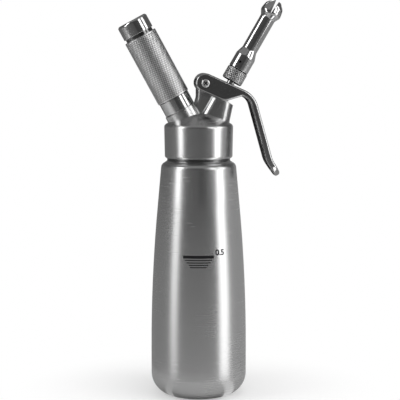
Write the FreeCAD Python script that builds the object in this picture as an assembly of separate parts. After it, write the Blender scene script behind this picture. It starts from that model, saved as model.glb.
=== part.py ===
import FreeCAD
import Part
import math
import os

# Whipped cream dispenser. Millimetres, +Z up, origin at the middle of the base.
# The nozzle and the lever are on +X, the charger holder on -X, the front is -Y.

from FreeCAD import Vector, Placement, Rotation

# Bottle
bottle_radius = 38.8
bottle_wall = 0.9
base_corner = 17.9
side_bend_height = 94.4
side_bend_span = 55.46
side_draw = 8.5
taper_height = 94.5
shoulder_round = 4.0
shoulder_rise = 3.2
neck_foot_round = 1.0
neck_radius = 25.5
neck_wall = 1.2
neck_length = 17.4
rim_bead = 1.6
rim_round = 1.0
rim_inner_round = 0.6
fill_mark_height = 117.0

# Fits and small roundings that several pieces share
running_fit = 0.05
thread_clearance = 0.3
edge_break = 0.3
seal_round = 0.2
overrun = 1.0
same_place = 0.01

# Head collar and dome, upwards from the bottle's rim
collar_overlap = 15.4
collar_radius = 27.9
collar_foot_radius = 27.4
collar_foot_round = 2.2
collar_rise = 8.0
collar_top_round = 2.8
dome_rise = 10.0
dome_shoulder_radius = 13.0
dome_round = 30.0
gasket_thickness = 3.2
gasket_width = 4.6
gasket_round = 0.4
ceiling_recess = 2.3
ceiling_round = 1.0

# Charger boss and holder, along their own tilted axis
holder_tilt = 28.6
holder_axis_depth = 15.1
boss_radius = 13.5
boss_top = 31.1
nipple_radius = 11.3
nipple_length = 11.6
nipple_round = 0.8
holder_face_gap = 0.3
ring_radius = 12.75
ring_length = 11.3
ring_round = 0.6
socket_relief = 0.6
socket_cone = 1.8
grip_radius = 13.55
grip_round = 0.5
neck_groove_length = 2.4
cap_length = 11.9
cap_top_wall = 3.0
cap_round = 2.0
sleeve_wall = 1.9
cushion_thickness = 2.0
cushion_bore = 2.5
cushion_round = 0.4

# Gas charger, pin and check valve
charger_radius = 9.2
charger_length = 65.5
charger_wall = 1.2
charger_sink = 0.6
charger_neck_radius = 4.4
charger_neck_length = 5.2
charger_neck_round = 1.6
charger_mouth_round = 0.8
charger_shoulder_length = 7.5
charger_shoulder_round = 5.0
charger_end_round = 7.5
charger_clearance = 0.4
carrier_radius = 6.1
carrier_length = 11.4
carrier_floor = 4.0
carrier_mouth_radius = 2.0
carrier_round = 0.5
carrier_fit = 0.03
pin_radius = 1.15
pin_bore = 0.45
pin_edge = 0.12
pin_point_length = 1.6
pin_reach = 1.8
pierced_clearance = 0.15
seal_thickness = 1.0
check_valve_radius = 3.0
check_valve_length = 5.6
check_valve_bore = 0.5
check_valve_lip_radius = 1.4
check_valve_flange = 1.4
check_valve_step = 0.8
gas_way_radius = 1.3
gas_way_overlap = 0.8

# Valve boss and stem, along their own tilted axis
valve_tilt = 30.0
valve_axis_depth = 10.9
valve_boss_radius = 10.0
valve_boss_top = 37.2
valve_boss_foot = 8.0
valve_boss_oval = 0.7
valve_boss_flare = 18.0
valve_boss_round = 0.6
stem_radius = 3.2
stem_bore = 2.0
stem_way_gap = 0.4
stem_rise = 23.8
land_radius = 3.95
land_start = 17.0
land_length = 6.5
land_room = 2.0
port_radius = 1.2
port_position = 14.4
seat_position = 12.0
seat_pocket_radius = 6.6
seat_pocket_foot = -2.0
foot_radius = 6.0
foot_thickness = 2.6
foot_round = 0.8
valve_gasket_thickness = 2.6
o_ring_section = 0.75
bush_radius = 6.5
bush_depth = 5.2
bush_flange = 1.4
bush_hub_radius = 4.2
bush_hub_height = 3.0
spring_mean_radius = 5.2
spring_wire_radius = 0.55
spring_seat_gap = 0.02
spring_turns = 6
thrust_collar_radius = 5.0
thrust_collar_thickness = 2.2
thrust_flange = 1.0
thrust_gap = 0.04

# Lever bracket and pivot, upwards from the dome
pivot_x = 4.6
pivot_rise = 23.9
bracket_half = 5.4
bracket_nose = -2.4
bracket_nose_flat = 0.6
bracket_foot_reach = 2.2
bracket_foot_rise = 5.0
bracket_bend_rise = 13.0
bracket_bend_round = 6.0
bracket_back_rise = 10.0
bracket_back_reach = 5.0
bracket_root = 10.0
bracket_top_drop = 1.9
bracket_top_round = 0.8
eye_tangent = 0.6
pivot_boss_radius = 5.5
pivot_boss_half = 9.8
barrel_radius = 2.2
barrel_head_stand = 0.4
barrel_head_round = 0.5
barrel_thread_wall = 3.0
screw_shank_radius = 1.3
screw_shank_gap = 1.0
screw_head_radius = 3.3
screw_head_stand = 0.2
screw_head_crown = 1.1
screw_head_round = 0.7
screw_slot_width = 0.8
screw_slot_length = 3.8
screw_slot_depth = 1.3
washer_radius = 5.2
washer_gap = 0.1

# Lever, in its own axes: x along the web from the pivot, y away from the head
web_slope = 24.0
lever_sheet = 1.2
lever_inner_half = 10.7
web_offset = 7.9
belly_depth = 7.3
bend_x = 40.2
bend_radius = 20.0
handle_turn = 50.5
handle_length = 54.3
handle_depth = 5.5
tip_turn = 15.4
tip_bend_radius = 16.0
tip_length = 14.1
tip_plan_radius = 9.5
tip_depth = 4.6
edge_round = 1.8
head_round = 7.6
chin_round = 7.0
belly_end = 19.8
belly_round = 9.0
belly_rise_end = 31.4
inner_bend_radius = 10.0
wrap_end = 0.6
slot_half = 3.45
slot_length = 13.0
lever_swing = 12.0

# Adapter and nozzle, along the valve axis
adapter_grip = 7.9
adapter_length = 11.0
adapter_radius = 8.6
adapter_chamfer = 1.0
adapter_cone = 0.8
spigot_radius = 6.5
spigot_length = 9.0
spigot_wall = 1.4
spigot_round = 0.5
funnel_start = 2.5
adapter_seal_thickness = 1.2
nozzle_clearance = 0.25
nozzle_foot_radius = 8.3
nozzle_foot_length = 12.1
nozzle_shoulder_length = 5.9
nozzle_shoulder_round = 3.5
nozzle_tube_radius = 6.3
nozzle_tube_length = 29.6
nozzle_bore_round = 1.5
nozzle_wall = 1.1
crown_start_round = 2.5
crown_swell_rise = 4.5
crown_swell_round = 4.0
crown_turn_rise = 6.4
crown_turn_round = 6.0
crown_tip_rise = 4.6
crown_radius = 8.8
crown_turn_radius = 7.7
crown_tip_radius = 3.4
crown_petals = 6
crown_phase = -5.0
petal_gap_rise = 0.2
petal_gap = 0.7
petal_tip_width = 0.7
cross_hole_radius = 1.0
cross_hole_rise = 5.9
cross_hole_turn = -18.0

# Places that follow from the sizes above
shoulder_radius = bottle_radius - side_draw
shoulder_height = side_bend_height + taper_height
neck_foot_height = shoulder_height + shoulder_rise
rim_height = neck_foot_height + neck_length
ceiling = rim_height + gasket_thickness + running_fit
collar_foot_height = rim_height - collar_overlap
collar_top_height = ceiling + collar_rise
dome_height = collar_top_height + dome_rise
pivot_height = dome_height + pivot_rise
holder_frame = Placement(
    Vector(0, 0, collar_top_height - holder_axis_depth), Rotation(Vector(0, 1, 0), -holder_tilt))
valve_frame = Placement(
    Vector(0, 0, collar_top_height - valve_axis_depth), Rotation(Vector(0, 1, 0), valve_tilt))
lever_frame = Placement(Vector(pivot_x, 0, pivot_height), Rotation(Vector(0, 1, 0), web_slope))
nipple_top = boss_top + nipple_length
charger_foot = nipple_top - charger_sink
charger_top = charger_foot + charger_length
charger_bore = charger_radius + charger_clearance
carrier_foot = charger_foot - carrier_length
holder_foot = boss_top + holder_face_gap
grip_foot = holder_foot + ring_length
cap_top = charger_top + cushion_thickness + running_fit + cap_top_wall
cap_foot = cap_top - cap_length
grip_top = cap_foot - neck_groove_length
sleeve_radius = grip_radius - sleeve_wall
lever_outer_half = lever_inner_half + lever_sheet
web_under = web_offset - lever_sheet
stem_top = valve_boss_top + stem_rise
adapter_foot = stem_top - adapter_grip
nozzle_foot = adapter_foot + adapter_length
nozzle_shoulder = nozzle_foot + nozzle_foot_length
nozzle_tube_foot = nozzle_shoulder + nozzle_shoulder_length
crown_start = nozzle_tube_foot + nozzle_tube_length
crown_swell = crown_start + crown_swell_rise
crown_turn = crown_swell + crown_turn_rise
crown_tip = crown_turn + crown_tip_rise
petal_gap_foot = crown_swell + petal_gap_rise


def outline(corners):
    """A closed wire in the XZ plane through corners (x, z, rounding)."""
    points = [Vector(x, 0, z) for x, z, rounding in corners]
    pieces = []
    spans = []
    for i, point in enumerate(points):
        rounding = corners[i][2]
        if rounding == 0:
            spans.append((point, point))
            continue
        back = points[i - 1] - point
        ahead = points[(i + 1) % len(points)] - point
        half_turn = (math.pi - back.getAngle(ahead)) / 2
        reach = rounding * math.tan(half_turn)
        start = point + back.normalize() * reach
        end = point + ahead.normalize() * reach
        middle = point + (back + ahead).normalize() * (rounding / math.cos(half_turn) - rounding)
        pieces.append(Part.Arc(start, middle, end).toShape())
        spans.append((start, end))
    for (_, here), (there, _) in zip(spans, spans[1:] + spans[:1]):
        if (there - here).Length > 1e-6:
            pieces.append(Part.LineSegment(here, there).toShape())
    return Part.Wire(Part.__sortEdges__(pieces))


def inset(corners, depth):
    """An open outline moved `depth` to its left, with its roundings kept parallel."""
    points = [Vector(x, 0, z) for x, z, rounding in corners]
    ways = [(b - a).normalize() for a, b in zip(points, points[1:])]
    sides = [Vector(-way.z, 0, way.x) for way in ways]
    moved = []
    for i, (x, z, rounding) in enumerate(corners):
        before = sides[max(i - 1, 0)]
        after = sides[min(i, len(sides) - 1)]
        shift = (before + after) * (depth / (1 + before.dot(after)))
        bends_left = 0 < i < len(sides) and before.cross(after).y < 0
        change = -depth if bends_left else depth
        moved.append((x + shift.x, z + shift.z, max(rounding + change, 0.0) if rounding else 0.0))
    return moved


def turned(corners):
    """A solid of revolution about Z."""
    return Part.Face(outline(corners)).revolve(Vector(0, 0, 0), Vector(0, 0, 1), 360)


def plate(corners, low, high):
    """A prism with its outline in XZ, from y = low to y = high."""
    face = Part.Face(outline(corners))
    face.translate(Vector(0, low, 0))
    return face.extrude(Vector(0, high - low, 0))


def ring(inner, outer, low, high, rounding=0.0):
    """A ring about Z with rounded edges."""
    return turned([
        (inner, low, rounding), (outer, low, rounding), (outer, high, rounding), (inner, high, rounding),
    ])


def rod(radius, low, high):
    return Part.makeCylinder(radius, high - low, Vector(0, 0, low))


def cross_rod(radius, low, high, x=0.0, z=0.0):
    """A cylinder along Y."""
    return Part.makeCylinder(radius, high - low, Vector(x, low, z), Vector(0, 1, 0))


def placed(shape, frame):
    moved = shape.copy()
    moved.Placement = frame.multiply(moved.Placement)
    return moved


def save(shape, name):
    solids = shape.Solids
    result = solids[0] if len(solids) == 1 else Part.makeCompound(solids)
    result.exportStep("parts/" + name + ".step")
    print(name, len(solids), "solid", round(shape.Volume / 1000.0, 2), "ml", shape.isValid())


def side_bend_radius():
    """The radius whose arc ends side_bend_span from the bend's corner."""
    turn = math.atan2(side_draw, taper_height)
    return side_bend_span / math.tan(turn / 2)


def bottle_side():
    """The bottle's outside from the middle of its base to the foot of its neck."""
    return [
        (0, 0, 0),
        (bottle_radius, 0, base_corner),
        (bottle_radius, side_bend_height, side_bend_radius()),
        (shoulder_radius, shoulder_height, shoulder_round),
        (neck_radius, neck_foot_height, neck_foot_round),
    ]


def bottle_inside():
    """The room inside the bottle, up to its rim."""
    side = inset(bottle_side() + [(neck_radius, rim_height, 0)], bottle_wall)[:-2]
    inner = neck_radius - neck_wall
    return turned(side + [
        (inner, neck_foot_height, neck_foot_round),
        (inner, rim_height - 2 * rim_bead, rim_inner_round),
        (inner - rim_bead, rim_height - rim_bead, rim_inner_round),
        (inner - rim_bead, rim_height + overrun, 0),
        (0, rim_height + overrun, 0),
    ])


def bottle():
    body = turned(bottle_side() + [(neck_radius, rim_height, rim_round), (0, rim_height, 0)])
    return body.cut(bottle_inside())


def head_gasket():
    outer = neck_radius
    high = rim_height + gasket_thickness
    return ring(outer - gasket_width, outer, rim_height, high, gasket_round)


def charger_boss():
    boss = rod(boss_radius, 0, boss_top)
    nipple = turned([
        (0, boss_top - overrun, 0),
        (nipple_radius, boss_top - overrun, 0),
        (nipple_radius, nipple_top, nipple_round),
        (0, nipple_top, 0),
    ])
    return placed(boss.fuse(nipple), holder_frame)


def stadium(radius, shift, height):
    """A closed wire of two half circles and two lines, its left centre on the axis."""
    right = shift
    back, front = Vector(0, radius, height), Vector(0, -radius, height)
    far_back, far_front = Vector(right, radius, height), Vector(right, -radius, height)
    return Part.Wire([
        Part.Arc(back, Vector(-radius, 0, height), front).toShape(),
        Part.LineSegment(front, far_front).toShape(),
        Part.Arc(far_front, Vector(right + radius, 0, height), far_back).toShape(),
        Part.LineSegment(far_back, back).toShape(),
    ])


def valve_boss():
    """A tilted boss whose outer side spreads towards the dome."""
    spread = (valve_boss_top - valve_boss_foot) * math.tan(math.radians(valve_boss_flare))
    boss = Part.makeLoft([
        stadium(valve_boss_radius, valve_boss_oval + spread, valve_boss_foot),
        stadium(valve_boss_radius, valve_boss_oval, valve_boss_top),
    ], True, True)
    rim = [e for e in boss.Edges if min(v.Z for v in e.Vertexes) > valve_boss_top - same_place]
    return placed(boss.makeFillet(valve_boss_round, rim), valve_frame)


def bracket():
    """The rounded rib that carries the lever's pivot."""
    reach = pivot_x + pivot_boss_radius
    back = reach + bracket_back_reach
    low = dome_height - bracket_root
    foot = bracket_nose - bracket_foot_reach
    foot_rise = dome_height + bracket_foot_rise
    top = pivot_height - bracket_top_drop
    rib = plate([
        (bracket_nose, top, bracket_top_round),
        (reach - eye_tangent, top, 0),
        (back, dome_height + bracket_back_rise, 0),
        (back, low, 0),
        (foot, low, 0),
        (foot, foot_rise, 0),
        (bracket_nose, dome_height + bracket_bend_rise, bracket_bend_round),
    ], -bracket_half, bracket_half)
    nose = [
        e for e in rib.Edges
        if abs(abs(e.CenterOfMass.y) - bracket_half) < same_place
        and e.BoundBox.XMax < bracket_nose + edge_break and e.BoundBox.ZMin > foot_rise - edge_break
        and e.BoundBox.ZLength > bracket_top_round
    ]
    rib = rib.makeFillet(bracket_half - bracket_nose_flat, nose)
    eye = cross_rod(pivot_boss_radius, -pivot_boss_half, pivot_boss_half, pivot_x, pivot_height)
    return rib.fuse(eye)


def head_outside():
    dome = turned([
        (0, collar_foot_height, 0),
        (collar_foot_radius, collar_foot_height, collar_foot_round),
        (collar_radius, collar_top_height, collar_top_round),
        (dome_shoulder_radius, dome_height, dome_round),
        (0, dome_height, 0),
    ])
    return dome.fuse([charger_boss(), valve_boss(), bracket()]).removeSplitter()


def head_inside():
    """What is cut from the head: the neck's room, the ceiling and both ways."""
    thread_radius = neck_radius + thread_clearance
    room = turned([
        (0, collar_foot_height - overrun, 0),
        (thread_radius, collar_foot_height - overrun, 0),
        (thread_radius, ceiling, 0),
        (neck_radius - gasket_width, ceiling, 0),
        (neck_radius - gasket_width, ceiling + ceiling_recess, ceiling_round),
        (0, ceiling + ceiling_recess, 0),
    ])
    gas = rod(check_valve_radius, carrier_foot - check_valve_length, carrier_foot)
    gas = gas.fuse(rod(carrier_radius + carrier_fit, carrier_foot, nipple_top + overrun))
    gas = placed(gas, holder_frame)
    knee = holder_frame.multVec(Vector(0, 0, carrier_foot - check_valve_length))
    rise = knee.z + gas_way_overlap - ceiling
    gas_way = Part.makeCylinder(gas_way_radius, rise, Vector(knee.x, 0, ceiling))
    pocket = rod(seat_pocket_radius, seat_pocket_foot, seat_position)
    bore = rod(land_radius + running_fit, 0, land_start + land_length + land_room)
    stem_way = rod(stem_radius + stem_way_gap, 0, valve_boss_top + overrun)
    bush_seat = rod(bush_radius, valve_boss_top - bush_depth, valve_boss_top + overrun)
    valve = placed(pocket.fuse([bore, stem_way, bush_seat]), valve_frame)
    past = pivot_boss_half + overrun
    pivot = cross_rod(barrel_radius, -past, past, pivot_x, pivot_height)
    return [room, gas, gas_way, valve, pivot]


def head_body():
    return head_outside().cut(head_inside())


def pin_carrier():
    top = charger_foot - seal_thickness
    floor = carrier_foot + carrier_floor
    body = turned([
        (carrier_mouth_radius, carrier_foot, edge_break),
        (carrier_radius, carrier_foot, carrier_round),
        (carrier_radius, top, carrier_round),
        (pin_radius + carrier_fit, top, 0),
        (pin_radius + carrier_fit, floor, 0),
        (carrier_mouth_radius, floor, 0),
    ])
    return placed(body, holder_frame)


def piercing_pin():
    low = carrier_foot + carrier_floor
    tip = charger_foot + pin_reach
    body = turned([
        (pin_bore, low, 0),
        (pin_radius, low, 0),
        (pin_radius, tip - pin_point_length, 0),
        (pin_bore + pin_edge, tip, 0),
        (pin_bore, tip, 0),
    ])
    return placed(body, holder_frame)


def pin_seal():
    outer = carrier_radius - 2 * running_fit
    body = ring(pin_radius + running_fit, outer, charger_foot - seal_thickness, charger_foot, seal_round)
    return placed(body, holder_frame)


def non_return_valve():
    """A rubber bell with a flange under the pin carrier."""
    low = carrier_foot - check_valve_length + edge_break
    rim = carrier_foot - check_valve_flange
    outer = check_valve_radius - running_fit
    body = turned([
        (check_valve_bore, low, 0),
        (check_valve_lip_radius, low, edge_break),
        (outer - running_fit, rim - check_valve_step, edge_break),
        (outer, rim, seal_round),
        (outer, carrier_foot, 0),
        (check_valve_bore, carrier_foot, 0),
    ])
    return placed(body, holder_frame)


def gas_charger():
    """A closed steel bulb with its pierced neck towards the head."""
    neck = charger_foot + charger_neck_length
    shoulder = neck + charger_shoulder_length
    wall = charger_wall
    body = turned([
        (0, charger_foot, 0),
        (charger_neck_radius, charger_foot, charger_mouth_round),
        (charger_neck_radius, neck, charger_neck_round),
        (charger_radius, shoulder, charger_shoulder_round),
        (charger_radius, charger_top, charger_end_round),
        (0, charger_top, 0),
    ])
    inside = turned([
        (0, charger_foot + wall, 0),
        (charger_neck_radius - wall, charger_foot + wall, 0),
        (charger_neck_radius - wall, neck, charger_neck_round - wall / 2),
        (charger_radius - wall, shoulder + wall / 2, charger_shoulder_round - wall),
        (charger_radius - wall, charger_top - wall, charger_end_round - wall),
        (0, charger_top - wall, 0),
    ])
    pierced = rod(pin_radius + pierced_clearance, charger_foot - overrun, charger_foot + wall + overrun)
    return placed(body.cut(inside.fuse(pierced)), holder_frame)


def charger_cushion():
    outer = charger_bore - edge_break
    high = charger_top + cushion_thickness
    return placed(ring(cushion_bore, outer, charger_top, high, cushion_round), holder_frame)


def charger_holder():
    """The holder's tube with its socket ring, and the neck groove below the cap."""
    socket = nipple_radius + thread_clearance
    socket_top = nipple_top + socket_relief
    top = cap_top - cap_top_wall
    body = turned([
        (socket, holder_foot, edge_break),
        (ring_radius, holder_foot, ring_round),
        (ring_radius, grip_foot, edge_break),
        (sleeve_radius, grip_foot, 0),
        (sleeve_radius, top, 0),
        (charger_bore, top, 0),
        (charger_bore, socket_top + socket_cone, 0),
        (socket, socket_top, 0),
    ])
    return placed(body, holder_frame)


def knurled_grip():
    return placed(ring(sleeve_radius, grip_radius, grip_foot, grip_top, grip_round), holder_frame)


def holder_end_cap():
    body = turned([
        (sleeve_radius, cap_foot, edge_break),
        (ring_radius, cap_foot, ring_round),
        (ring_radius, cap_top, cap_round),
        (0, cap_top, 0),
        (0, cap_top - cap_top_wall, 0),
        (sleeve_radius, cap_top - cap_top_wall, 0),
    ])
    return placed(body, holder_frame)


def valve_guide_bush():
    """A flanged bush in the valve boss, with a hub that centres the spring."""
    low = valve_boss_top - bush_depth
    bore = stem_radius + running_fit
    flange = low + bush_flange
    body = turned([
        (bore, low, 0),
        (bush_radius, low, 0),
        (bush_radius, flange, edge_break),
        (bush_hub_radius, flange, edge_break),
        (bush_hub_radius, flange + bush_hub_height, edge_break),
        (bore, flange + bush_hub_height, edge_break),
    ])
    return placed(body, valve_frame)


def collar_top():
    """Where the collar's flat top stands, a hair under the tilted web at rest."""
    reach = math.sqrt(thrust_collar_radius ** 2 - slot_half ** 2)
    return web_height(-reach, 0.0) - thrust_gap


def web_height(across, swing):
    """The web's underside along the valve axis, `across` from it, with the lever swung down."""
    pivot = valve_frame.inverse().multVec(Vector(pivot_x, 0, pivot_height))
    lean = math.radians(valve_tilt - web_slope - swing)
    return pivot.z + (web_under + (across - pivot.x) * math.sin(lean)) / math.cos(lean)


def valve_travel():
    """How far the lever's full swing pushes the stem in."""
    reach = math.sqrt(thrust_collar_radius ** 2 - slot_half ** 2)
    return web_height(-reach, 0.0) - web_height(reach, lever_swing) + thrust_gap / 2


def valve_stem():
    """A hollow stem with a foot, side ports and a land for its ring."""
    foot_top = seat_position - valve_gasket_thickness
    foot = foot_top - foot_thickness
    land_top = land_start + land_length
    groove = land_radius - o_ring_section
    middle = (land_start + land_top) / 2
    body = turned([
        (0, foot, 0),
        (foot_radius, foot, foot_round),
        (foot_radius, foot_top, edge_break),
        (stem_radius, foot_top, 0),
        (stem_radius, land_start, 0),
        (land_radius, land_start, seal_round),
        (land_radius, middle - o_ring_section, 0),
        (groove, middle - o_ring_section, 0),
        (groove, middle + o_ring_section, 0),
        (land_radius, middle + o_ring_section, 0),
        (land_radius, land_top, seal_round),
        (stem_radius, land_top, 0),
        (stem_radius, stem_top, edge_break),
        (stem_bore, stem_top, seal_round),
        (stem_bore, foot_top + stem_bore / 2, stem_bore / 2),
        (0, foot_top + stem_bore / 2, 0),
    ])
    port = cross_rod(port_radius, -foot_radius, foot_radius, 0, port_position)
    side_port = port.copy()
    side_port.rotate(Vector(0, 0, 0), Vector(0, 0, 1), 90)
    return placed(body.cut([port, side_port]), valve_frame)


def valve_gasket():
    low = seat_position - valve_gasket_thickness
    return placed(ring(stem_radius, foot_radius - seal_round, low, seat_position, edge_break), valve_frame)


def stem_o_ring():
    section = o_ring_section / 2
    middle = land_start + land_length / 2
    major = land_radius - section
    return placed(Part.makeTorus(major, section, Vector(0, 0, middle)), valve_frame)


def arc_pair(start, start_way, end, end_way):
    """Two arcs that leave start along start_way and reach end along end_way."""
    chord = end - start
    ways = start_way + end_way
    a = 2 * (1 - start_way.dot(end_way))
    b = 2 * chord.dot(ways)
    c = -chord.dot(chord)
    reach = (-b + math.sqrt(b * b - 4 * a * c)) / (2 * a)
    knee, last_knee = start + start_way * reach, end - end_way * reach
    joint = (knee + last_knee) * 0.5
    arcs = []
    for first, corner, last in ((start, knee, joint), (joint, last_knee, end)):
        half = (last - first).Length / 2
        centre = (first + last) * 0.5
        rise = corner - centre
        bulge = half * math.tan(math.atan2(rise.Length, half) / 2)
        arcs.append(Part.Arc(first, centre + rise.normalize() * bulge, last).toShape())
    return arcs


def coil(radius, wire_radius, low, high, turns):
    """One unbroken helical wire about Z, and its least gap to itself."""
    steps = turns * 4
    pitch = (high - low) / turns

    def at(step):
        angle = math.pi / 2 * step
        return Vector(radius * math.cos(angle), radius * math.sin(angle), low + pitch * step / 4)

    def way(step):
        angle = math.pi / 2 * step
        rise = pitch / (2 * math.pi)
        return Vector(-radius * math.sin(angle), radius * math.cos(angle), rise).normalize()

    edges = []
    for step in range(steps):
        edges += arc_pair(at(step), way(step), at(step + 1), way(step + 1))
    path = Part.Wire(edges)
    section = Part.Wire([Part.Circle(at(0), way(0), wire_radius).toShape()])
    points = path.discretize(Number=turns * 40)
    per_turn = len(points) // turns
    gaps = [
        (a - b).Length - 2 * wire_radius
        for i, a in enumerate(points) for b in points[i + per_turn // 2:]
    ]
    return path.makePipeShell([section], True, False), min(gaps)


def valve_spring():
    seat = spring_wire_radius + spring_seat_gap
    low = valve_boss_top - bush_depth + bush_flange + seat
    high = collar_top() - thrust_collar_thickness - seat
    spring, gap = coil(spring_mean_radius, spring_wire_radius, low, high, spring_turns)
    print("least gap between the spring's turns", round(gap, 2), "mm")
    return placed(Part.Solid(spring), valve_frame)


def thrust_collar():
    top = collar_top()
    low = top - thrust_collar_thickness
    spring_side = spring_mean_radius + spring_wire_radius
    body = turned([
        (stem_radius, low, 0),
        (spring_side, low, edge_break),
        (spring_side, low + thrust_flange, edge_break),
        (thrust_collar_radius, low + thrust_flange, 0),
        (thrust_collar_radius, top, 0),
        (stem_radius, top, 0),
    ])
    return placed(body, valve_frame)


def pivot_barrel():
    """A threaded barrel from the back cheek through the bracket."""
    back = lever_outer_half
    body = cross_rod(barrel_radius, -pivot_boss_half, pivot_boss_half).fuse(
        cross_rod(screw_head_radius, pivot_boss_half, back + barrel_head_stand))
    rim = [e for e in body.Edges if e.BoundBox.YMin > back]
    body = body.makeFillet(barrel_head_round, rim)
    body = body.cut(cross_rod(screw_shank_radius, -back, pivot_boss_half - barrel_thread_wall))
    body.translate(Vector(pivot_x, 0, pivot_height))
    return body


def pivot_screw():
    """A pan-head screw, its head turning in the front cheek's hole."""
    front = lever_outer_half + screw_head_stand
    crown = front + screw_head_crown
    shank_end = pivot_boss_half - barrel_thread_wall - screw_shank_gap
    head = turned([
        (0, pivot_boss_half, 0),
        (screw_head_radius, pivot_boss_half, 0),
        (screw_head_radius, front, 0),
        (screw_head_radius - screw_head_round, crown - edge_break, screw_head_round),
        (0, crown, 0),
    ])
    shank = rod(screw_shank_radius, -shank_end, pivot_boss_half + screw_head_round)
    body = head.fuse(shank)
    body.rotate(Vector(0, 0, 0), Vector(1, 0, 0), 90)
    for angle in (0, 90):
        corner = Vector(-screw_slot_width / 2, -crown - overrun, -screw_slot_length / 2)
        arm = Part.makeBox(screw_slot_width, screw_slot_depth + overrun, screw_slot_length, corner)
        arm.rotate(Vector(0, 0, 0), Vector(0, 1, 0), angle + 45)
        body = body.cut(arm)
    body.translate(Vector(pivot_x, 0, pivot_height))
    return body


def pivot_washers():
    washers = []
    for side in (-1, 1):
        washer = ring(
            screw_head_radius + washer_gap, washer_radius, pivot_boss_half, lever_inner_half - washer_gap)
        washer.rotate(Vector(0, 0, 0), Vector(1, 0, 0), -90 * side)
        washer.translate(Vector(pivot_x, 0, pivot_height))
        washers.append(washer)
    return Part.makeCompound(washers)


def turned_way(degrees):
    """A direction in the lever's own axes, `degrees` down from the web."""
    return math.cos(math.radians(degrees)), -math.sin(math.radians(degrees))


def along(point, way, length):
    return point[0] + way[0] * length, point[1] + way[1] * length


def inward(corner, before, after, depth):
    """The corner of a line `depth` inside an outline whose ways are before and after."""
    half = math.radians(after - before) / 2
    middle = math.radians((before + after) / 2)
    reach = depth / math.cos(half)
    return corner[0] - math.sin(middle) * reach, corner[1] - math.cos(middle) * reach


def lever_side():
    """The outer corners: bend, flare and tip, in the lever's own axes."""
    bend = (bend_x, web_offset)
    flare = along(bend, turned_way(handle_turn), handle_length)
    tip = along(flare, turned_way(handle_turn - tip_turn), tip_length)
    return bend, flare, tip


def lever_outside():
    """The lever as if it were solid, with a round tip and rounded outer edges."""
    bend, flare, tip = lever_side()
    tip_way = handle_turn - tip_turn
    past_tip = along(tip, turned_way(tip_way), lever_sheet)
    in_tip = inward(past_tip, tip_way, tip_way, tip_depth)
    in_flare = inward(flare, handle_turn, tip_way, handle_depth)
    in_bend = inward(bend, 0, handle_turn, handle_depth)
    side = plate([
        (-web_offset, web_offset, head_round),
        (*bend, bend_radius),
        (*flare, tip_bend_radius),
        (*past_tip, 0),
        (*in_tip, 0),
        (*in_flare, tip_bend_radius + handle_depth),
        (*in_bend, inner_bend_radius),
        (belly_rise_end, web_offset - handle_depth, lever_sheet),
        (belly_end, -belly_depth, belly_round),
        (-web_offset, -belly_depth, chin_round),
    ], -lever_outer_half, lever_outer_half)
    side = side.cut(placed(beyond_tip(tip_plan_radius, lever_outer_half), tip_frame()))
    return side.makeFillet(edge_round, [e for e in side.Edges if on_outer_edge(e, bend, flare)])


def lever_room():
    """The room between the cheeks, open towards the head."""
    bend, flare, tip = lever_side()
    tip_way = handle_turn - tip_turn
    room_bend = inward(bend, 0, handle_turn, lever_sheet)
    room_flare = inward(flare, handle_turn, tip_way, lever_sheet)
    room_tip = inward(tip, tip_way, tip_way, lever_sheet)
    far = -2 * handle_length
    room = plate([
        (lever_sheet - web_offset, web_offset - lever_sheet, head_round - lever_sheet),
        (*room_bend, bend_radius - lever_sheet),
        (*room_flare, tip_bend_radius + lever_sheet),
        (*room_tip, 0),
        (room_tip[0] - handle_length, far, 0),
        (lever_sheet - web_offset, far, 0),
    ], -lever_inner_half, lever_inner_half)
    return room.cut(placed(beyond_tip(tip_plan_radius - lever_sheet, lever_inner_half), tip_frame()))


def tip_frame():
    """Where the round tip's two arcs have their centres, with X along the tip."""
    flare = lever_side()[1]
    tip_way = handle_turn - tip_turn
    centre = along(flare, turned_way(tip_way), tip_length - tip_plan_radius)
    return Placement(Vector(centre[0], 0, centre[1]), Rotation(Vector(0, 1, 0), tip_way))


def beyond_tip(radius, half):
    """What a tip with two arcs in plan leaves out of a channel of this half width."""
    deep = 2 * half
    plan = Part.makeBox(radius, 2 * (half - radius), 2 * deep, Vector(0, radius - half, -deep))
    for centre in (radius - half, half - radius):
        plan = plan.fuse(Part.makeCylinder(radius, 2 * deep, Vector(0, centre, -deep)))
    return Part.makeBox(2 * half, 4 * half, 2 * deep, Vector(0, -2 * half, -deep)).cut(plan)


def on_outer_edge(edge, bend, flare):
    """Whether an edge bounds the lever's outer skin, and is no seam across it."""
    if edge.BoundBox.YLength > lever_outer_half:
        return False
    middle = edge.valueAt((edge.FirstParameter + edge.LastParameter) / 2)
    corner, way = (0.0, web_offset), turned_way(0)
    if middle.x > bend[0]:
        corner, way = bend, turned_way(handle_turn)
    if (middle.x - bend[0]) * way[0] + (middle.z - bend[1]) * way[1] > handle_length:
        corner, way = flare, turned_way(handle_turn - tip_turn)
    depth = (middle.x - corner[0]) * way[1] - (middle.z - corner[1]) * way[0]
    return depth < handle_depth / 2


def lever():
    """A sheet channel: web, two cheeks with a belly, and a handle flared at its tip."""
    far = -3 * web_offset
    open_head = plate([
        (far, wrap_end, 0), (0, wrap_end, 0), (0, far, 0), (far, far, 0),
    ], -lever_inner_half, lever_inner_half)
    slot_place = lever_frame.inverse().multVec(valve_frame.multVec(Vector(0, 0, collar_top())))
    holes = cross_rod(screw_head_radius + running_fit, -2 * lever_outer_half, 2 * lever_outer_half)
    body = lever_outside().cut([lever_room(), open_head, web_slot(slot_place.x), holes])
    return placed(body, lever_frame)


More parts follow.
